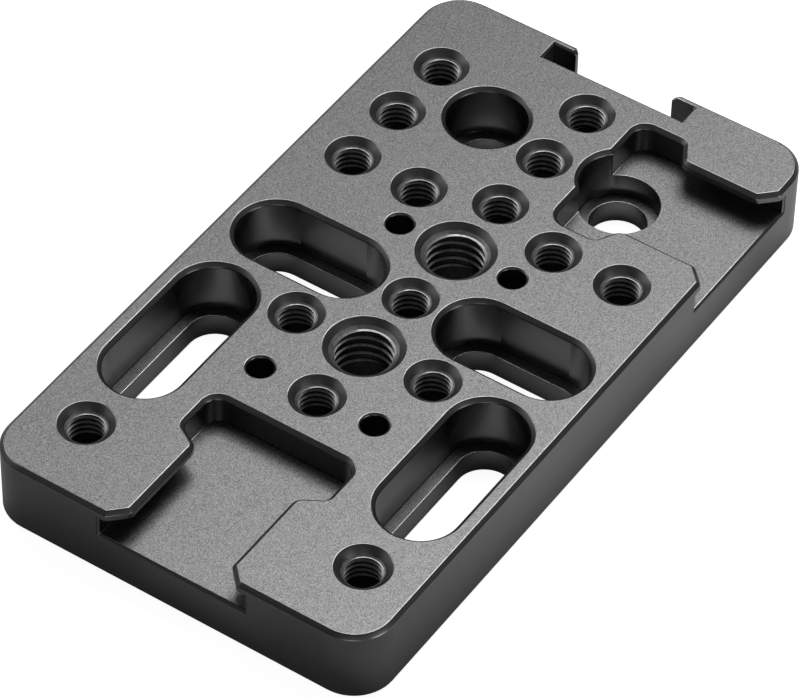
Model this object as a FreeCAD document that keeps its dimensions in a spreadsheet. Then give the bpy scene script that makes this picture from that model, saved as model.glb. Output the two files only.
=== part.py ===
import FreeCAD, Part
import Sketcher
import os
import re

# Camera cheese plate: one block of aluminium, milled, drilled and tapped. It lies flat, with its
# underside at Z = 0, the origin at the middle of the underside and its long side along Y. All
# sizes are in millimetres. Three T-slots of one cross-section take sliding shoes: one opens at
# the front edge, one at the right edge, and one crosses the back edge from face to face.

# Driving sizes
SIZES = {
    # block
    "plate_width": 66.6,
    "plate_length": 120.0,
    "plate_thickness": 13.0,
    "corner_radius": 6.6,
    "edge_chamfer": 0.65,
    # cross-section that the three T-slots share
    "slot_depth": 5.0,
    "lip_thickness": 1.6,
    "lip_gap": 17.35,
    "lip_width": 3.875,
    "undercut_chamfer": 0.35,
    # wide entry at the closed end of the front and side T-slots, and the shoulder after it
    "entry_length": 7.55,
    "shoulder_length": 2.25,
    "entry_radius": 2.4,
    "shoulder_inner_radius": 1.2,
    "shoulder_outer_radius": 1.9,
    # places and mouths of the T-slots
    "front_slot_clearance": 7.95,
    "side_slot_clearance": 7.75,
    "side_slot_inset": 21.45,
    "mouth_land": 1.175,
    "mouth_radius": 1.0,
    "back_mouth_chamfer": 0.8,
    # hole grid, from the middle of the plate, and the holes at the front edge
    "pitch": 12.0,
    "side_column": 24.0,
    "side_row": 20.0,
    "front_hole_inset": 12.7,
    # threaded holes, at the major diameter of their threads
    "small_thread": 6.35,
    "small_countersink": 8.52,
    "large_thread": 9.525,
    "large_countersink": 12.3,
    "exit_chamfer": 0.5,
    # locating pin holes
    "pin_hole": 4.1,
    "pin_countersink": 4.68,
    "pin_offset": 10.0,
    # counterbored holes and slots for screws that pass through
    "counterbore_width": 12.6,
    "counterbore_depth": 8.85,
    "clearance_width": 8.9,
    "clearance_chamfer": 0.2,
    "cross_slot_travel": 12.0,
    "slot_web": 3.4,
    "hole_web": 3.64,
}

# Places on the plate, as formulas of the sizes
HALF_WIDTH = "plate_width / 2"
HALF_LENGTH = "plate_length / 2"
HALF_GAP = "lip_gap / 2"
HALF_UNDERCUT = "(lip_gap / 2 + lip_width)"
HALF_MOUTH = "(lip_gap / 2 + lip_width - mouth_land)"
SLOT_FLOOR = "plate_thickness - slot_depth"
LIP_UNDERSIDE = "plate_thickness - lip_thickness"
BACK_WALL = "plate_length / 2 - slot_depth"
BACK_LIP = "plate_length / 2 - lip_thickness"
FRONT_SLOT_END = "-2 * pitch - front_slot_clearance"
FRONT_SLOT_LENGTH = "plate_length / 2 - 2 * pitch - front_slot_clearance"
SIDE_SLOT_END = "side_slot_clearance"
SIDE_SLOT_LENGTH = "plate_width / 2 - side_slot_clearance"
SIDE_SLOT_PLACE = "plate_length / 2 - side_slot_inset"
FRONT_ROW = "front_hole_inset - plate_length / 2"
LONG_SLOT_START = "-counterbore_width - slot_web"
LONG_SLOT_END = FRONT_ROW + " + small_countersink / 2 + hole_web + counterbore_width / 2"

SMALL_HOLES = [
    ("-side_column", "side_row"),
    ("-side_column", "side_row + pitch"),
    ("-side_column", "side_row + 2 * pitch"),
    ("-pitch", "side_row"),
    ("pitch", "side_row"),
    ("side_column", "side_row"),
    ("0", "2 * pitch"),
    ("0", "3 * pitch"),
    ("0", "4 * pitch"),
    ("0", "0"),
    ("-pitch", "-pitch"),
    ("pitch", "-pitch"),
    ("0", "-2 * pitch"),
    ("-side_column", FRONT_ROW),
    ("side_column", FRONT_ROW),
]
LARGE_HOLES = [("0", "pitch"), ("0", "-pitch")]
PIN_HOLES = [
    ("-pin_offset", "pitch"),
    ("pin_offset", "pitch"),
    ("-pin_offset", "-2 * pitch"),
    ("pin_offset", "-2 * pitch"),
]
CLEARANCE_HOLES = [("-pitch", SIDE_SLOT_PLACE), ("pitch", SIDE_SLOT_PLACE)]
CLEARANCE_SLOTS = [
    (("-side_column", "0"), ("cross_slot_travel - side_column", "0")),
    (("side_column", "0"), ("side_column - cross_slot_travel", "0")),
    (("-side_column", LONG_SLOT_START), ("-side_column", LONG_SLOT_END)),
    (("side_column", LONG_SLOT_START), ("side_column", LONG_SLOT_END)),
]

doc = FreeCAD.newDocument("cheese_plate")
sizes = doc.addObject("Spreadsheet::Sheet", "sizes")
for row, (alias, number) in enumerate(SIZES.items(), start=1):
    sizes.set(f"A{row}", alias)
    sizes.set(f"B{row}", str(number))
    sizes.setAlias(f"B{row}", alias)
doc.recompute()

plate = doc.addObject("PartDesign::Body", "cheese_plate")
plate.Label = "cheese_plate"

# What lies nearer than this counts as being at the same place
NEAR = 0.001
# A cut that opens at a face starts this far outside it
OUTSIDE = 1.0


def from_sheet(formula):
    """The formula with each of its sizes read from the sheet."""
    return re.sub(r"[a-z_]+", lambda name: "sizes." + name.group(), formula)


def number_of(formula):
    """What a formula comes to."""
    return float(sizes.evalExpression(from_sheet(formula)))


def place_of(point):
    """The vector of a point that is given by two formulas."""
    return FreeCAD.Vector(number_of(point[0]), number_of(point[1]), 0)


def new_sketch(name, height="0"):
    """An empty sketch parallel to the underside, at a height given by a formula."""
    sketch = plate.newObject("Sketcher::SketchObject", name)
    ground = [item for item in plate.Origin.OriginFeatures if item.Role == "XY_Plane"][0]
    sketch.AttachmentSupport = [(ground, "")]
    sketch.MapMode = "FlatFace"
    sketch.setExpression("AttachmentOffset.Base.z", from_sheet(height))
    return sketch


def constrain(sketch, formula, kind, *where):
    """One dimension of a sketch, bound to a formula."""
    index = sketch.addConstraint(Sketcher.Constraint(kind, *where, number_of(formula)))
    sketch.setExpression(f"Constraints[{index}]", from_sheet(formula))


def hold(sketch, geometry, end, point):
    """Hold one end, or the centre, of a line or arc at a point."""
    constrain(sketch, point[0], "DistanceX", -1, 1, geometry, end)
    constrain(sketch, point[1], "DistanceY", -1, 1, geometry, end)


def draw_polygon(sketch, corners):
    """A closed outline of straight lines through the corners."""
    places = [place_of(corner) for corner in corners]
    lines = [
        sketch.addGeometry(Part.LineSegment(start, end))
        for start, end in zip(places, places[1:] + places[:1])
    ]
    for line, following in zip(lines, lines[1:] + lines[:1]):
        sketch.addConstraint(Sketcher.Constraint("Coincident", line, 2, following, 1))
    for line, corner in zip(lines, corners):
        hold(sketch, line, 1, corner)


def draw_rectangle(sketch, left, right, front, back):
    """A closed rectangle between four formulas."""
    draw_polygon(sketch, [(left, front), (right, front), (right, back), (left, back)])


def draw_circle(sketch, centre, diameter):
    """A circle round a point."""
    axis = FreeCAD.Vector(0, 0, 1)
    circle = sketch.addGeometry(Part.Circle(place_of(centre), axis, number_of(diameter) / 2))
    hold(sketch, circle, 3, centre)
    constrain(sketch, diameter, "Diameter", circle)


def draw_slot(sketch, start, end, width):
    """A slot with round ends, whose end arcs are centred on two points."""
    centres = [place_of(start), place_of(end)]
    radius = number_of(width) / 2
    along = (centres[1] - centres[0]).normalize() * radius
    aside = FreeCAD.Vector(-along.y, along.x, 0)
    cap_start = Part.Arc(centres[0] + aside, centres[0] - along, centres[0] - aside)
    cap_end = Part.Arc(centres[1] - aside, centres[1] + along, centres[1] + aside)
    pieces = [
        sketch.addGeometry(cap_start),
        sketch.addGeometry(Part.LineSegment(centres[0] - aside, centres[1] - aside)),
        sketch.addGeometry(cap_end),
        sketch.addGeometry(Part.LineSegment(centres[1] + aside, centres[0] + aside)),
    ]
    for piece, following in zip(pieces, pieces[1:] + pieces[:1]):
        sketch.addConstraint(Sketcher.Constraint("Tangent", piece, 2, following, 1))
    hold(sketch, pieces[0], 3, start)
    hold(sketch, pieces[2], 3, end)
    constrain(sketch, width + " / 2", "Radius", pieces[0])
    sketch.addConstraint(Sketcher.Constraint("Equal", pieces[0], pieces[2]))


def finished(feature):
    """Recompute the document and stop at a feature that failed or changed nothing."""
    doc.recompute()
    if "Invalid" in feature.State or "Error" in feature.State:
        raise RuntimeError(f"{feature.Label} failed")
    before = feature.BaseFeature.Shape.Volume if feature.BaseFeature else 0
    if abs(feature.Shape.Volume - before) < NEAR:
        raise RuntimeError(f"{feature.Label} changed nothing")
    return feature


def cut(name, sketch, depth):
    """Mill a sketch downwards to a depth given by a formula."""
    pocket = plate.newObject("PartDesign::Pocket", name)
    pocket.Profile = sketch
    pocket.setExpression("Length", from_sheet(depth))
    return finished(pocket)


def cut_through(name, sketch):
    """Mill a sketch on the underside upwards through the whole plate."""
    pocket = plate.newObject("PartDesign::Pocket", name)
    pocket.Profile = sketch
    pocket.Type = "ThroughAll"
    pocket.Reversed = True
    return finished(pocket)


def drill(name, places, diameter, countersink=None, depth=None):
    """Holes from the top face, with 90 degree countersinks, to a depth or right through."""
    sketch = new_sketch(name + "_places", "plate_thickness")
    for place in places:
        draw_circle(sketch, place, diameter)
    doc.recompute()
    hole = plate.newObject("PartDesign::Hole", name)
    hole.Profile = sketch
    hole.DrillPoint = "Flat"
    hole.setExpression("Diameter", from_sheet(diameter))
    if countersink:
        hole.HoleCutType = "Countersink"
        hole.HoleCutCountersinkAngle = 90
        hole.setExpression("HoleCutDiameter", from_sheet(countersink))
    if depth:
        hole.DepthType = "Dimension"
        hole.setExpression("Depth", from_sheet(depth))
    else:
        hole.DepthType = "ThroughAll"
    return finished(hole)


def edges_where(wanted):
    """Names of the plate's edges for which wanted(edge) holds."""
    edges = enumerate(plate.Tip.Shape.Edges, start=1)
    return [f"Edge{index}" for index, edge in edges if wanted(edge)]


def break_edges(name, kind, size, wanted):
    """A chamfer or fillet of one size along all wanted edges."""
    base = plate.Tip
    names = edges_where(wanted)
    if not names:
        raise RuntimeError(f"{name} finds no edge")
    feature = plate.newObject("PartDesign::" + kind, name)
    feature.Base = (base, names)
    feature.setExpression("Radius" if kind == "Fillet" else "Size", from_sheet(size))
    return finished(feature)


def distance_to(point, start, end):
    """How far a point lies from a straight axis between two places."""
    flat = FreeCAD.Vector(point.x, point.y, 0)
    if (end - start).Length < NEAR:
        return (flat - start).Length
    return flat.distanceToLineSegment(start, end).Length


def level_with(edge, height):
    """Whether an edge lies flat at a height."""
    box = edge.BoundBox
    return abs(box.ZMin - height) < NEAR and abs(box.ZMax - height) < NEAR


def upright_at(edge, places):
    """Whether an edge stands upright at one of the places."""
    box = edge.BoundBox
    foot = FreeCAD.Vector(box.XMin, box.YMin, 0)
    flat = max(box.XLength, box.YLength)
    return flat < NEAR and any((foot - place_of(place)).Length < NEAR for place in places)


def round_uprights(name, radius, places):
    """Round the upright edges that stand at the places."""
    return break_edges(name, "Fillet", radius, lambda edge: upright_at(edge, places))


# Block
block_sketch = new_sketch("block_outline")
draw_rectangle(block_sketch, "-" + HALF_WIDTH, HALF_WIDTH, "-" + HALF_LENGTH, HALF_LENGTH)
block = plate.newObject("PartDesign::Pad", "block")
block.Profile = block_sketch
block.setExpression("Length", from_sheet("plate_thickness"))
finished(block)
round_uprights("block_corners", "corner_radius", [
    (side + HALF_WIDTH, end + HALF_LENGTH) for side in ("-", "") for end in ("-", "")
])

# Openings of the front and side T-slots: a wide entry for the shoe, shoulders that lead to the
# lips, and a chamfered mouth. Each row is a corner of one half of the opening: how far it lies
# from the slot's closed end, how far from its centre line, and the radius that rounds it.
def opening_rows(length):
    """Corners of one half of an opening of this length."""
    return [
        ("0", HALF_UNDERCUT, "entry_radius"),
        ("entry_length", HALF_UNDERCUT, "shoulder_inner_radius"),
        ("entry_length + shoulder_length", HALF_GAP, "shoulder_outer_radius"),
        (f"{length} - {HALF_MOUTH} + {HALF_GAP}", HALF_GAP, "mouth_radius"),
        (length, HALF_MOUTH, "mouth_radius"),
        (f"{length} + {OUTSIDE}", HALF_MOUTH, None),
    ]


def in_front_slot(along, side, across):
    """A point of the front T-slot in the plate's own directions."""
    return (f"{side} ({across})", f"{FRONT_SLOT_END} - ({along})")


def in_side_slot(along, side, across):
    """A point of the side T-slot in the plate's own directions."""
    return (f"{SIDE_SLOT_END} + {along}", f"{SIDE_SLOT_PLACE} {side} ({across})")


openings = new_sketch("slot_openings", "plate_thickness")
rounded = {}
for length, in_slot in ((FRONT_SLOT_LENGTH, in_front_slot), (SIDE_SLOT_LENGTH, in_side_slot)):
    rows = opening_rows(length)
    near_half = [in_slot(along, "-", across) for along, across, radius in rows]
    far_half = [in_slot(along, "+", across) for along, across, radius in rows]
    draw_polygon(openings, near_half + far_half[::-1])
    for near, far, (along, across, radius) in zip(near_half, far_half, rows):
        rounded.setdefault(radius, []).extend([near, far])
cut("slot_openings_cut", openings, "slot_depth")
for radius in ("entry_radius", "shoulder_inner_radius", "shoulder_outer_radius", "mouth_radius"):
    round_uprights(radius.replace("radius", "rounding"), radius, rounded[radius])

# Gap between the lips of the back T-slot, as far in as the middle of its undercut
back_gap = new_sketch("back_gap")
gap_end = f"{HALF_LENGTH} - (slot_depth + lip_thickness) / 2"
gap_half = [
    (HALF_GAP, gap_end),
    (HALF_GAP, HALF_LENGTH + " - back_mouth_chamfer"),
    (HALF_GAP + " + back_mouth_chamfer", HALF_LENGTH),
    (HALF_GAP + " + back_mouth_chamfer", f"{HALF_LENGTH} + {OUTSIDE}"),
]
draw_polygon(back_gap, gap_half + [(f"-({x})", y) for x, y in gap_half[::-1]])
cut_through("back_gap_cut", back_gap)

# Wide upper part of the screw slots
counterbores = new_sketch("counterbore_outlines", "plate_thickness")
for start, end in CLEARANCE_SLOTS:
    draw_slot(counterbores, start, end, "counterbore_width")
cut("counterbored_slots", counterbores, "counterbore_depth")


# Chamfer round the whole plate, the openings and the screw slots, on both faces
def on_rim(edge):
    """Whether an edge borders the top or the underside, the closed end of the back gap apart."""
    box = edge.BoundBox
    closes_gap = box.YLength < NEAR and abs(box.YMin - number_of(gap_end)) < NEAR
    flat = level_with(edge, 0) or level_with(edge, number_of("plate_thickness"))
    return flat and not closes_gap


break_edges("rim_chamfer", "Chamfer", "edge_chamfer", on_rim)

# Undercuts below the lips
undercuts = new_sketch("undercut_outlines", LIP_UNDERSIDE)
draw_rectangle(
    undercuts, "-" + HALF_UNDERCUT, HALF_UNDERCUT,
    f"-{HALF_LENGTH} - {OUTSIDE}", f"{FRONT_SLOT_END} - entry_length / 2",
)
draw_rectangle(
    undercuts, f"{SIDE_SLOT_END} + entry_length / 2", f"{HALF_WIDTH} + {OUTSIDE}",
    f"{SIDE_SLOT_PLACE} - {HALF_UNDERCUT}", f"{SIDE_SLOT_PLACE} + {HALF_UNDERCUT}",
)
cut("undercuts", undercuts, "slot_depth - lip_thickness")
back_undercut = new_sketch("back_undercut")
draw_rectangle(back_undercut, "-" + HALF_UNDERCUT, HALF_UNDERCUT, BACK_WALL, BACK_LIP)
cut_through("back_undercut_cut", back_undercut)


def on_undercut_mouth(edge):
    """Whether an edge borders an undercut where the undercut comes out of the plate."""
    box = edge.BoundBox
    at_front = box.YLength < NEAR and abs(box.YMin + number_of(HALF_LENGTH)) < NEAR
    at_side = box.XLength < NEAR and abs(box.XMin - number_of(HALF_WIDTH)) < NEAR
    from_floor = abs(box.ZMin - number_of(SLOT_FLOOR)) < NEAR
    flat = level_with(edge, 0) or level_with(edge, number_of("plate_thickness"))
    in_back = box.YMin > number_of(BACK_WALL) - NEAR and box.YMax < number_of(BACK_LIP) + NEAR
    between = max(-box.XMin, box.XMax) < number_of(HALF_UNDERCUT) + NEAR
    return ((at_front or at_side) and from_floor) or (flat and in_back and between)


break_edges("undercut_chamfers", "Chamfer", "undercut_chamfer", on_undercut_mouth)

# Screw holes: wide above, narrow below, like the screw slots
drill("counterbores", CLEARANCE_HOLES, "counterbore_width",
      "counterbore_width + 2 * edge_chamfer", "counterbore_depth")
drill("clearance_holes", CLEARANCE_HOLES, "clearance_width")
clearance = new_sketch("clearance_outlines")
for start, end in CLEARANCE_SLOTS:
    draw_slot(clearance, start, end, "clearance_width")
cut_through("clearance_slots", clearance)


def on_clearance_exit(edge):
    """Whether an edge borders a screw slot or screw hole on the underside."""
    middle = edge.valueAt((edge.FirstParameter + edge.LastParameter) / 2)
    axes = CLEARANCE_SLOTS + [(place, place) for place in CLEARANCE_HOLES]
    away = [distance_to(middle, place_of(start), place_of(end)) for start, end in axes]
    return level_with(edge, 0) and abs(min(away) - number_of("clearance_width") / 2) < NEAR


break_edges("clearance_chamfers", "Chamfer", "clearance_chamfer", on_clearance_exit)

# Threaded holes and locating pin holes, right through
drill("small_threads", SMALL_HOLES, "small_thread", "small_countersink")
drill("large_threads", LARGE_HOLES, "large_thread", "large_countersink")
drill("pin_holes", PIN_HOLES, "pin_hole", "pin_countersink")


def on_drilled_exit(edge):
    """Whether an edge borders a threaded hole or a pin hole on the underside."""
    round_edge = isinstance(edge.Curve, Part.Circle) and edge.isClosed()
    drills = [number_of(size) / 2 for size in ("small_thread", "large_thread", "pin_hole")]
    return (level_with(edge, 0) and round_edge
            and min(abs(edge.Curve.Radius - radius) for radius in drills) < NEAR)


break_edges("exit_chamfers", "Chamfer", "exit_chamfer", on_drilled_exit)

# The whole document has to be sound before anything is written
doc.recompute()
for item in doc.Objects:
    if "Invalid" in item.State or "Error" in item.State:
        raise RuntimeError(f"{item.Label} failed")
if plate.Shape.isNull() or not plate.Shape.isValid() or len(plate.Shape.Solids) != 1:
    raise RuntimeError(f"{plate.Label} isn't one valid solid")
os.makedirs("parts", exist_ok=True)
plate.Shape.exportStep(f"parts/{plate.Label}.step")
box = plate.Shape.BoundBox
print(f"{plate.Label}: {box.XLength:.2f} x {box.YLength:.2f} x {box.ZLength:.2f} mm,"
      f" {plate.Shape.Volume / 1000:.2f} cm3, {len(plate.Shape.Faces)} faces")
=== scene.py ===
import math
import bpy
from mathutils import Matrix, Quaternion, Vector


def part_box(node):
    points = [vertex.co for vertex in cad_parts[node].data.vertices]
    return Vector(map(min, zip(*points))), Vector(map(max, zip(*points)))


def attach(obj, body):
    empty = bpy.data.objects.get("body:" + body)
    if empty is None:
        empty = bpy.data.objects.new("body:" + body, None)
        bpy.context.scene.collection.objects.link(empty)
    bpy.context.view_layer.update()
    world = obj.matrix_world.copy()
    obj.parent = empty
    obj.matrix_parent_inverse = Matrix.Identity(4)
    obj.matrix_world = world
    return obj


# Camera cheese plate: a milled block of bead-blasted, dark anodised aluminium, lying flat on a
# white table with its underside at Z = 0. The block is the CAD part. Its threads, finish and fine
# rounded edges are made here. Lengths are written in millimetres and turned into metres with MM.
MM = 0.001
BODY = "root"

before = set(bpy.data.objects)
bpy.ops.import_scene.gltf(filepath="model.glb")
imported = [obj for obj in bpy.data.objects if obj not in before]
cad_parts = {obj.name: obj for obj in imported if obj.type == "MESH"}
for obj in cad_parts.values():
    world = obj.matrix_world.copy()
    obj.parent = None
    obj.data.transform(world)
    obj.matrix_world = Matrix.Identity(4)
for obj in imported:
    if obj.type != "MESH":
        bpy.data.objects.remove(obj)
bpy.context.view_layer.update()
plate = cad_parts["cheese_plate"]
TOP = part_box("cheese_plate")[1].z / MM

# Camera: where it looks, from which side and how far away, and its lens
AIM = (1.14, -4.25, 6.5)
AZIMUTH = 33.25
ELEVATION = 46.04
ROLL = 1.2
DISTANCE = 746.6
LENS = 228.64

# Lamps: how far away and how wide they are in metres, then each one's name, side and height in
# degrees, counted as the camera's are, and power
LAMP_DISTANCE = 1.0
LAMP_SIZE = 0.5
LAMPS = [
    ("high_back", 202, 65, 2.3),
    ("high_back_left", 225, 65, 0.35),
    ("back", 180, 52, 1.35),
    ("back_right", 157, 52, 0.5),
    ("left", 300, 30, 0.25),
    ("high_left", 270, 38, 1.0),
    ("low_right", 85, 10, 1.3),
    ("low_front", 30, 15, 0.5),
]

# Hole grid, from the middle of the plate
PITCH = 12.0
SIDE_COLUMN = 24.0
SIDE_ROW = 20.0
FRONT_ROW = -47.3
SHALLOW_HOLES = [
    (-SIDE_COLUMN, SIDE_ROW),
    (-PITCH, SIDE_ROW),
    (PITCH, SIDE_ROW),
    (SIDE_COLUMN, SIDE_ROW),
    (0, 0),
    (-PITCH, -PITCH),
    (PITCH, -PITCH),
    (0, -2 * PITCH),
    (-SIDE_COLUMN, FRONT_ROW),
    (SIDE_COLUMN, FRONT_ROW),
]
DEEP_HOLES = [
    (-SIDE_COLUMN, SIDE_ROW + PITCH),
    (-SIDE_COLUMN, SIDE_ROW + 2 * PITCH),
    (0, 2 * PITCH),
    (0, 3 * PITCH),
    (0, 4 * PITCH),
]
LARGE_HOLES = [(0, PITCH), (0, -PITCH)]

# Threads: radius of the bore, radius of the crests, pitch, depth where the bore begins, and
# radius of the ring that the broken first turn leaves in the countersink
SMALL = {"bore": 3.175, "crest": 2.78, "pitch": 1.0, "sink": 1.085, "ring": 3.19}
LARGE = {"bore": 4.7625, "crest": 4.4, "pitch": 1.5875, "sink": 1.3875, "ring": 5.2}
# The tap stops at these depths below the top face, and the drilled hole goes on to the exit chamfer
SHALLOW_TAP = 5.0
DEEP_TAP = 5.8
LARGE_TAP = 7.6
EXIT_CHAMFER = 0.5
# The countersink breaks the first turn at this slope, and all threads start on this side
SINK_SLOPE = math.radians(38)
SINK_TILT = math.radians(3)
THREAD_SIDE = math.radians(103)
# A ridge's flanks, its flat crest and its greatest width, the last two as shares of the pitch
FLANK = math.radians(30)
CREST_FLAT = 0.1
RIDGE_WIDEST = 0.94
# A thread's parts reach this far into the metal round them, and the ridge this far below the tap
LAP = 0.02
RIDGE_LAP = 0.05
# The dish that trims the ridge goes this far past the crests
DISH_REACH = 0.3
# Height of the ring's inner edge, and share of its width that its outer band takes, which is painted
# darker than the painted highlight on the inner edge
RING_EDGE = 0.1
OUTER_BAND = 0.6
# Facets of a round form, steps in a turn of thread, and the angle that stays a sharp edge
FACETS = 96
TURN_STEPS = 64
SHARP = math.radians(20)
# Places in the list of a thread's painted tones, from painted shade at the roots to painted highlight
# at the crests and on the ring, and those of the ridge from the bore inwards
ROOTS, FLANKS, CRESTS, TURN, TURN_EDGE = range(5)
BANDS = (ROOTS, FLANKS, CRESTS)

# The plate's edges: how far they are rounded, from which angle on, and in how many steps
EDGE_ROUND = 0.1
EDGE_ANGLE = math.radians(25)
EDGE_STEPS = 3

# The blasted faces' grain, and the tone and roughness of milled and blasted metal. The scale keeps
# the flat faces off the noise's own planes, on which the grain would vanish.
GRAIN_SCALE = 7800
GRAIN_HEIGHT = 0.02
GRAIN_SPREAD = (0.25, 0.75)
GRAIN_DARK = (0.08, 0.08, 0.082, 1)
GRAIN_PALE = (0.42, 0.42, 0.426, 1)
MILLED_TONE = (0.25, 0.25, 0.253, 1)
MILLED_ROUGHNESS = 0.27
BLASTED_ROUGHNESS = 0.4
# How far up a face looks, from 0 on a wall to 1 on top, where its tone and where its roughness
# go from milled to blasted
TONE_CHANGE = (0.9, 0.99)
ROUGHNESS_CHANGE = (0.3, 0.6)
# Metal whose tone paints highlight and shade: how fine its streaks are, the stretch of the noise
# that they take, and how far their tone strays
STREAK_SCALE = 1500
STREAK_SPREAD = (0.3, 0.7)
STREAK_DEPTH = 0.2
# Edges with painted highlight where they stand out and face up, and painted shade in hollows and
# on undersides: where they turn from hollow to outstanding and from underside to upper side, and
# the share of their tone that the painted shade leaves
EDGE_OUTWARD = (0.49, 0.52)
EDGE_UPWARD = (-0.1, 0.3)
EDGE_SHADE = 0.1

# The table's tone, with painted shade that makes it darker in front of the plate, which keeps the
# front edge dark
TABLE_SHADE_FRONT = (-70, 0.34)
TABLE_SHADE_BACK = (-10, 0.9)
# The table lies this far below the plate, so that the two share no face
TABLE_GAP = 0.05
# How white the table and the backdrop look, and how much of them the metal mirrors
TABLE_WHITE = 0.94
TABLE_SHEEN = 0.012
BACKDROP_WHITE = 1.0
BACKDROP_SHEEN = 0.02
BACKDROP_LIGHT = 0.02


# Nodes that the materials share

def new_material(name):
    """A new material, its nodes and its principled shader's inputs."""
    material = bpy.data.materials.new(name)
    material.use_nodes = True
    tree = material.node_tree
    return material, tree, tree.nodes["Principled BSDF"].inputs


def noise(tree, scale, detail):
    """Noise that stays with the piece."""
    node = tree.nodes.new("ShaderNodeTexNoise")
    node.inputs["Scale"].default_value = scale
    node.inputs["Detail"].default_value = detail
    place = tree.nodes.new("ShaderNodeTexCoord")
    tree.links.new(place.outputs["Object"], node.inputs["Vector"])
    return node.outputs["Fac"]


def part_of(tree, vector, axis):
    """One coordinate of a place or direction."""
    node = tree.nodes.new("ShaderNodeSeparateXYZ")
    tree.links.new(vector, node.inputs["Vector"])
    return node.outputs[axis]


def map_range(tree, value, low, high, to_low=0.0, to_high=1.0):
    """A value that goes from to_low to to_high while the one it follows goes from low to high."""
    node = tree.nodes.new("ShaderNodeMapRange")
    limits = {"From Min": low, "From Max": high, "To Min": to_low, "To Max": to_high}
    for socket, limit in limits.items():
        node.inputs[socket].default_value = limit
    tree.links.new(value, node.inputs["Value"])
    return node.outputs["Result"]


def combine(tree, operation, first, second):
    """Two values put together by a math node."""
    node = tree.nodes.new("ShaderNodeMath")
    node.operation = operation
    tree.links.new(first, node.inputs[0])
    tree.links.new(second, node.inputs[1])
    return node.outputs["Value"]


def mix(tree, kind, share, first, second):
    """A mix of two tones, each of them another node's output or a fixed one."""
    node = tree.nodes.new("ShaderNodeMix")
    node.data_type = kind
    tree.links.new(share, node.inputs["Factor"])
    for socket, tone in (("A", first), ("B", second)):
        if isinstance(tone, bpy.types.NodeSocket):
            tree.links.new(tone, node.inputs[socket])
        else:
            node.inputs[socket].default_value = tone
    return node.outputs["Result"]


def seen_share(tree, seen, mirrored, otherwise):
    """How white a backdrop is where the camera sees it, where metal mirrors it, and as light."""
    path = tree.nodes.new("ShaderNodeLightPath").outputs
    mirror = combine(tree, "MAXIMUM", path["Is Glossy Ray"], path["Is Transmission Ray"])
    level = mix(tree, "FLOAT", mirror, otherwise, mirrored)
    return mix(tree, "FLOAT", path["Is Camera Ray"], level, seen)


# Materials

def blasted_aluminium(name):
    """Dark anodised aluminium: bead-blasted with a fine grain on top, and milled on the walls."""
    material, tree, shader = new_material(name)
    link = tree.links.new
    level = part_of(tree, tree.nodes.new("ShaderNodeNewGeometry").outputs["True Normal"], "Z")
    blasted = map_range(tree, level, *TONE_CHANGE)
    grain = noise(tree, GRAIN_SCALE, 1)
    coarse = mix(tree, "RGBA", map_range(tree, grain, *GRAIN_SPREAD), GRAIN_DARK, GRAIN_PALE)
    link(mix(tree, "RGBA", blasted, MILLED_TONE, coarse), shader["Base Color"])
    roughness = map_range(tree, level, *ROUGHNESS_CHANGE, MILLED_ROUGHNESS, BLASTED_ROUGHNESS)
    link(roughness, shader["Roughness"])
    bump = tree.nodes.new("ShaderNodeBump")
    bump.inputs["Distance"].default_value = GRAIN_HEIGHT * MM
    link(blasted, bump.inputs["Strength"])
    link(grain, bump.inputs["Height"])
    link(bump.outputs["Normal"], shader["Normal"])
    shader["Metallic"].default_value = 1.0
    return material


def painted_light_metal(name, tone, roughness):
    """Metal in a given tone with fine streaks, which the threads and edges use to paint highlight and
    shade.
    """
    material, tree, shader = new_material(name)
    darkest = tone * (1 - STREAK_DEPTH)
    palest = tone * (1 + STREAK_DEPTH)
    streaks = map_range(tree, noise(tree, STREAK_SCALE, 2), *STREAK_SPREAD, darkest, palest)
    tree.links.new(streaks, shader["Base Color"])
    shader["Metallic"].default_value = 1.0
    shader["Roughness"].default_value = roughness
    return material


def edge_highlight_and_shade(name, tone, roughness):
    """The rounded edges: painted highlight where they stand out and face up, painted shade in corners
    and below.
    """
    material = painted_light_metal(name, tone, roughness)
    tree = material.node_tree
    base = tree.nodes["Principled BSDF"].inputs["Base Color"]
    shape = tree.nodes.new("ShaderNodeNewGeometry").outputs
    # Painted shade in hollows and on undersides darkens the edges' painted highlight
    hollow_shade = map_range(tree, shape["Pointiness"], *EDGE_OUTWARD, EDGE_SHADE)
    underside_shade = map_range(tree, part_of(tree, shape["True Normal"], "Z"), *EDGE_UPWARD, EDGE_SHADE)
    edge_tone = base.links[0].from_socket
    for share in (hollow_shade, underside_shade):
        edge_tone = combine(tree, "MULTIPLY", edge_tone, share)
    tree.links.new(edge_tone, base)
    return material


def white_table():
    """The table: white to the camera, with the plate's shadow kept, lit by the lamps alone, and
    darker in front of the plate by painted shade.
    """
    material, tree, shader = new_material("white_table")
    link = tree.links.new
    place = part_of(tree, tree.nodes.new("ShaderNodeTexCoord").outputs["Object"], "Y")
    front, front_tone = TABLE_SHADE_FRONT
    back, back_tone = TABLE_SHADE_BACK
    # Painted shade: the table's colour darkens towards the front of the plate
    link(map_range(tree, place, front * MM, back * MM, front_tone, back_tone), shader["Base Color"])
    shader["Roughness"].default_value = 0.9
    shader["Specular IOR Level"].default_value = 0.0
    glow = tree.nodes.new("ShaderNodeEmission")
    glow.inputs["Color"].default_value = (1, 1, 1, 1)
    link(seen_share(tree, TABLE_WHITE, TABLE_SHEEN, 0.0), glow.inputs["Strength"])
    both = tree.nodes.new("ShaderNodeAddShader")
    link(tree.nodes["Principled BSDF"].outputs["BSDF"], both.inputs[0])
    link(glow.outputs["Emission"], both.inputs[1])
    link(both.outputs["Shader"], tree.nodes["Material Output"].inputs["Surface"])
    return material


# Tools for the pieces

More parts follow.
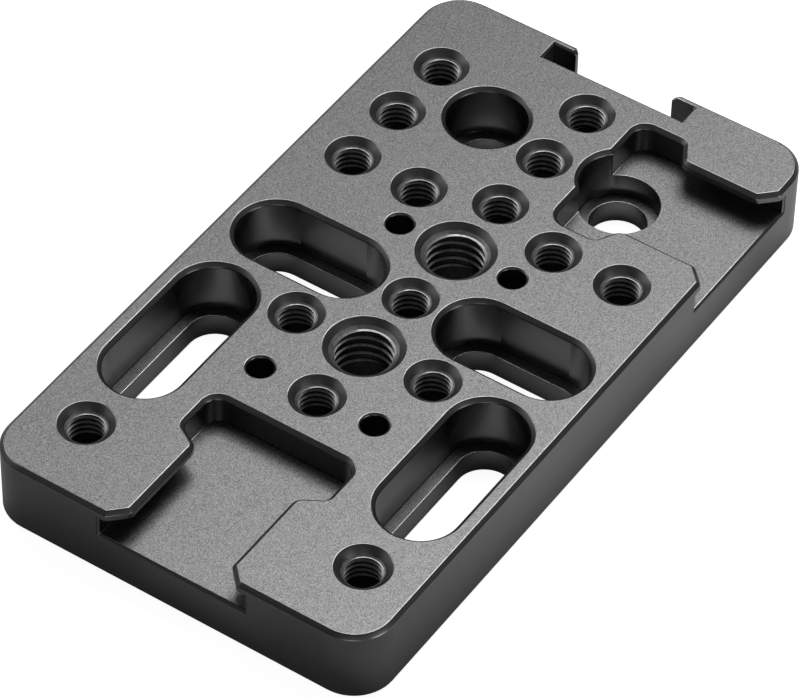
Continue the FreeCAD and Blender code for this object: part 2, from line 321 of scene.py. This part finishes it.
def select_only(piece):
    """Make one piece the selected and active one."""
    bpy.ops.object.select_all(action="DESELECT")
    piece.select_set(True)
    bpy.context.view_layer.objects.active = piece


def add_modifier(piece, name, kind, **settings):
    """Give a piece a modifier with these settings."""
    modifier = piece.modifiers.new(name, kind)
    for key, value in settings.items():
        setattr(modifier, key, value)
    return modifier


def apply_modifier(piece, kind, **settings):
    """Give a piece a modifier with these settings and apply it."""
    select_only(piece)
    modifier = add_modifier(piece, kind.lower(), kind, **settings)
    bpy.ops.object.modifier_apply(modifier=modifier.name)


def round_bar(radius, bottom, top):
    """A round bar that stands on the Z axis."""
    bpy.ops.object.select_all(action="DESELECT")
    bpy.ops.mesh.primitive_cylinder_add(
        vertices=FACETS, radius=radius * MM, depth=(top - bottom) * MM,
        location=(0, 0, (top + bottom) / 2 * MM),
    )
    bpy.ops.object.transform_apply(location=True, rotation=True, scale=True)
    return bpy.context.object


def edit_faces(piece, wanted):
    """Open a piece for editing with only its wanted faces selected."""
    bpy.ops.object.mode_set(mode="EDIT")
    bpy.ops.mesh.select_mode(type="FACE")
    bpy.ops.mesh.select_all(action="DESELECT")
    bpy.ops.object.mode_set(mode="OBJECT")
    for face in piece.data.polygons:
        face.select = wanted(face)
    bpy.ops.object.mode_set(mode="EDIT")


# Threads

def helix(root, crest, pitch, start, turns):
    """A V-shaped ridge that winds up the wall of a bore."""
    height = root - crest
    middle = (root + crest) / 2 * MM
    land = CREST_FLAT * pitch
    width = min(land + 2 * height * math.tan(FLANK), RIDGE_WIDEST * pitch)
    bpy.ops.object.select_all(action="DESELECT")
    bpy.ops.mesh.primitive_plane_add(size=1, location=(0, 0, 0))
    ridge = bpy.context.object
    bpy.ops.object.mode_set(mode="EDIT")
    bpy.ops.transform.rotate(value=math.radians(90), orient_axis="X", center_override=(0, 0, 0))
    bpy.ops.transform.resize(value=(height * MM, 1, width * MM))
    bpy.ops.transform.translate(value=(middle, 0, start * MM))
    # The two inner corners come together, which makes the V
    bpy.ops.mesh.select_all(action="DESELECT")
    bpy.ops.object.mode_set(mode="OBJECT")
    for corner in ridge.data.vertices:
        corner.select = corner.co.x < middle
    bpy.ops.object.mode_set(mode="EDIT")
    bpy.ops.mesh.select_mode(type="VERT")
    bpy.ops.transform.resize(value=(1, 1, land / width), center_override=(0, 0, start * MM))
    # The outline is kept without its face, and its flanks are divided for the bands of painted shade
    # and highlight
    bpy.ops.mesh.select_all(action="SELECT")
    bpy.ops.mesh.delete(type="ONLY_FACE")
    bpy.ops.mesh.select_mode(type="EDGE")
    bpy.ops.mesh.select_all(action="DESELECT")
    bpy.ops.object.mode_set(mode="OBJECT")
    for edge in ridge.data.edges:
        ends = [ridge.data.vertices[index].co.x for index in edge.vertices]
        edge.select = abs(ends[0] - ends[1]) > height * MM / 2
    bpy.ops.object.mode_set(mode="EDIT")
    bpy.ops.mesh.subdivide(number_cuts=2)
    bpy.ops.object.mode_set(mode="OBJECT")
    apply_modifier(ridge, "SCREW", axis="Z", angle=math.tau, screw_offset=pitch * MM,
                   iterations=turns, steps=TURN_STEPS, render_steps=TURN_STEPS)
    bpy.ops.object.mode_set(mode="EDIT")
    bpy.ops.mesh.select_all(action="SELECT")
    bpy.ops.mesh.fill_holes(sides=0)
    bpy.ops.mesh.select_all(action="SELECT")
    bpy.ops.mesh.normals_make_consistent(inside=False)
    bpy.ops.object.mode_set(mode="OBJECT")
    return ridge


def dished_plug(root, crest, bottom, top):
    """A cylinder whose upper end is dished, as the countersink breaks the first turn."""
    plug = round_bar(root, bottom, top)
    dish = root - crest + DISH_REACH
    edit_faces(plug, lambda face: face.normal.z > 0.5)
    bpy.ops.mesh.inset(thickness=dish * MM, depth=0)
    bpy.ops.transform.translate(value=(0, 0, -dish * math.tan(SINK_SLOPE) * MM))
    bpy.ops.object.mode_set(mode="OBJECT")
    return plug


def sleeve(outer, inner, bottom, top):
    """A thin round wall inside a bore, in the painted shade of the thread's roots."""
    wall = round_bar(outer, bottom, top)
    edit_faces(wall, lambda face: abs(face.normal.z) > 0.5)
    bpy.ops.mesh.inset(thickness=(outer - inner) * MM, depth=0, use_individual=True)
    bpy.ops.mesh.bridge_edge_loops()
    bpy.ops.object.mode_set(mode="OBJECT")
    wall.data.materials.append(THREAD_PAINTED_LIGHT[ROOTS])
    return wall


def first_turn(root, crest, ring, sink):
    """The ring that is left where the countersink breaks the first turn."""
    wide = ring + LAP
    lip = wide - root + 2 * LAP
    drop = (wide - crest) * math.tan(SINK_SLOPE)
    flank = (root - crest) * math.tan(FLANK)
    seat = TOP - sink
    collar = round_bar(root, seat + lip - drop - RING_EDGE - flank, seat)
    # Each end is drawn in to the crests, the upper one after it has grown to the ring
    ends = (
        (1, wide - crest, -drop, (OUTER_BAND, 1 - OUTER_BAND)),
        (-1, root - crest, flank, (1,)),
    )
    for side, thickness, move, bands in ends:
        edit_faces(collar, lambda face: len(face.vertices) > 4 and face.normal.z * side > 0.5)
        if side > 0:
            bpy.ops.mesh.extrude_region_move(TRANSFORM_OT_translate={"value": (0, 0, lip * MM)})
            bpy.ops.transform.resize(value=(wide / root, wide / root, 1), center_override=(0, 0, 0))
        for band in bands:
            bpy.ops.mesh.inset(thickness=thickness * band * MM, depth=0)
            bpy.ops.transform.translate(value=(0, 0, move * band * MM))
        bpy.ops.transform.rotate(
            value=-SINK_TILT, orient_axis="X", center_override=(0, 0, (seat + lip - drop) * MM))
        bpy.ops.object.mode_set(mode="OBJECT")
    edit_faces(collar, lambda face: len(face.vertices) > 4)
    bpy.ops.mesh.bridge_edge_loops()
    bpy.ops.object.mode_set(mode="OBJECT")
    for painted_tone in THREAD_PAINTED_LIGHT:
        collar.data.materials.append(painted_tone)
    # Painted highlight on the ring's upper faces, brighter at its inner edge, and painted shade on
    # its sides
    for face in collar.data.polygons:
        inner = face.center.xy.length / MM < crest + (1 - OUTER_BAND) * (wide - crest)
        if face.normal.z > 0.3:
            face.material_index = TURN_EDGE if inner else TURN
        else:
            face.material_index = ROOTS
    return collar


def thread(name, tap, bore, crest, pitch, sink, ring):
    """A tapped thread below its countersink and the drilled wall that goes on below the tap."""
    root = bore + LAP
    top = TOP - sink + LAP
    end = TOP - tap
    start = end - pitch
    ridge = helix(root, crest, pitch, start, math.ceil((top - end) / pitch) + 2)
    # The ridge is turned so that it meets the countersink on the chosen side
    first = (top - start) / pitch * math.tau
    select_only(ridge)
    bpy.ops.transform.rotate(value=first - THREAD_SIDE, orient_axis="Z", center_override=(0, 0, 0))
    bpy.ops.object.transform_apply(location=True, rotation=True, scale=True)
    plug = dished_plug(root, crest, end - RIDGE_LAP, top)
    apply_modifier(ridge, "BOOLEAN", operation="INTERSECT", object=plug, solver="EXACT")
    bpy.data.objects.remove(plug)
    for painted_tone in THREAD_PAINTED_LIGHT:
        ridge.data.materials.append(painted_tone)
    # Painted shade at the roots turns to painted highlight at the crests, and faces cut flat by the
    # dish take the crests' painted highlight
    for face in ridge.data.polygons:
        reach = (root - face.center.xy.length / MM) / (root - crest)
        band = min(int(reach * len(BANDS)), len(BANDS) - 1)
        broken = face.normal.z > 0.9
        face.material_index = CRESTS if broken else BANDS[band]
    lining = sleeve(root, bore - LAP, end, top)
    wall = sleeve(root, crest, EXIT_CHAMFER, end)
    collar = first_turn(root, crest, ring, sink)
    select_only(ridge)
    for part in (lining, wall, collar):
        part.select_set(True)
    bpy.ops.object.join()
    bpy.ops.object.shade_smooth_by_angle(angle=SHARP)
    ridge.name = name
    return ridge


def copy_to(piece, places):
    """Copies of a piece, one at each place, the last of them being the piece itself."""
    stem = piece.name
    pieces = []
    for number, (x, y) in enumerate(places, start=1):
        made = piece
        if number < len(places):
            select_only(piece)
            bpy.ops.object.duplicate(linked=False)
            made = bpy.context.object
        made.name = f"{stem}_{number}"
        select_only(made)
        bpy.ops.transform.translate(value=(x * MM, y * MM, 0))
        bpy.ops.object.transform_apply(location=True, rotation=True, scale=True)
        pieces.append(made)
    return pieces


# The plate's finish and its fine rounded edges, with painted highlight and shade on them

plate.data.materials.clear()
plate.data.materials.append(blasted_aluminium("blasted_aluminium"))
# The second material paints highlight on the rounded edges that stand out and face up, and paints
# shade on them in hollows and below
plate.data.materials.append(edge_highlight_and_shade("edge_highlight_and_shade", 0.4, 0.25))
add_modifier(plate, "join_facets", "WELD", merge_threshold=0.001 * MM)
add_modifier(plate, "flat_faces", "DECIMATE", decimate_type="DISSOLVE", angle_limit=math.radians(0.5))
add_modifier(plate, "soft_edges", "BEVEL", limit_method="ANGLE", angle_limit=EDGE_ANGLE,
             use_clamp_overlap=False, width=EDGE_ROUND * MM, segments=EDGE_STEPS, material=1)


# The threads in their holes

# Each tone paints light onto the threads: painted shade at the roots and on the drilled walls, and
# painted highlight on the flanks, the crests and the first turn's ring
THREAD_PAINTED_LIGHT = [
    painted_light_metal("thread_roots_painted_shade", 0.1, 0.5),
    painted_light_metal("thread_flanks_painted_highlight", 0.75, 0.5),
    painted_light_metal("thread_crests_painted_highlight", 0.82, 0.45),
    painted_light_metal("first_turn", 0.35, 0.5),
    painted_light_metal("first_turn_edge_painted_highlight", 0.5, 0.5),
]
threads = copy_to(thread("shallow_thread", SHALLOW_TAP, **SMALL), SHALLOW_HOLES)
threads += copy_to(thread("deep_thread", DEEP_TAP, **SMALL), DEEP_HOLES)
threads += copy_to(thread("large_thread", LARGE_TAP, **LARGE), LARGE_HOLES)
for piece in threads:
    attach(piece, BODY)


# Table, backdrop, lamps and camera

def make_table():
    """A white table that the plate lies on."""
    bpy.ops.object.select_all(action="DESELECT")
    bpy.ops.mesh.primitive_plane_add(size=4, location=(0, 0, -TABLE_GAP * MM))
    table = bpy.context.object
    table.name = "table"
    bpy.ops.object.transform_apply(location=True, rotation=True, scale=True)
    table.data.materials.append(white_table())


def make_backdrop():
    """A plain world: white where it is seen, and dark elsewhere."""
    world = bpy.data.worlds.new("backdrop")
    bpy.context.scene.world = world
    world.use_nodes = True
    tree = world.node_tree
    light = tree.nodes["Background"].inputs
    light["Color"].default_value = (1, 1, 1, 1)
    strength = seen_share(tree, BACKDROP_WHITE, BACKDROP_SHEEN, BACKDROP_LIGHT)
    tree.links.new(strength, light["Strength"])


def away(azimuth, elevation):
    """The direction from the plate to a lamp or the camera."""
    turn = math.radians(azimuth)
    rise = math.radians(elevation)
    return Vector((math.sin(turn) * math.cos(rise), -math.cos(turn) * math.cos(rise), math.sin(rise)))


def make_lamp(name, azimuth, elevation, power):
    """A square soft lamp that faces the plate."""
    light = bpy.data.lights.new(name, "AREA")
    light.shape = "SQUARE"
    light.size = LAMP_SIZE
    light.energy = power
    back = away(azimuth, elevation)
    stand = bpy.data.objects.new(name, light)
    stand.location = back * LAMP_DISTANCE
    stand.rotation_euler = (-back).to_track_quat("-Z", "Y").to_euler()
    bpy.context.scene.collection.objects.link(stand)


def make_camera():
    """The camera, at the photograph's viewing angle."""
    back = away(AZIMUTH, ELEVATION)
    data = bpy.data.cameras.new("camera")
    data.sensor_width = 36
    data.lens = LENS
    data.clip_start = 0.05
    data.clip_end = 20
    camera = bpy.data.objects.new("camera", data)
    camera.location = (Vector(AIM) + back * DISTANCE) * MM
    straight = (-back).to_track_quat("-Z", "Y")
    roll = Quaternion((0, 0, 1), math.radians(ROLL))
    camera.rotation_euler = (straight @ roll).to_euler()
    bpy.context.scene.collection.objects.link(camera)
    bpy.context.scene.camera = camera


make_table()
make_backdrop()
for lamp in LAMPS:
    make_lamp(*lamp)
make_camera()
bpy.context.scene.view_settings.view_transform = "Standard"

bpy.context.view_layer.update()
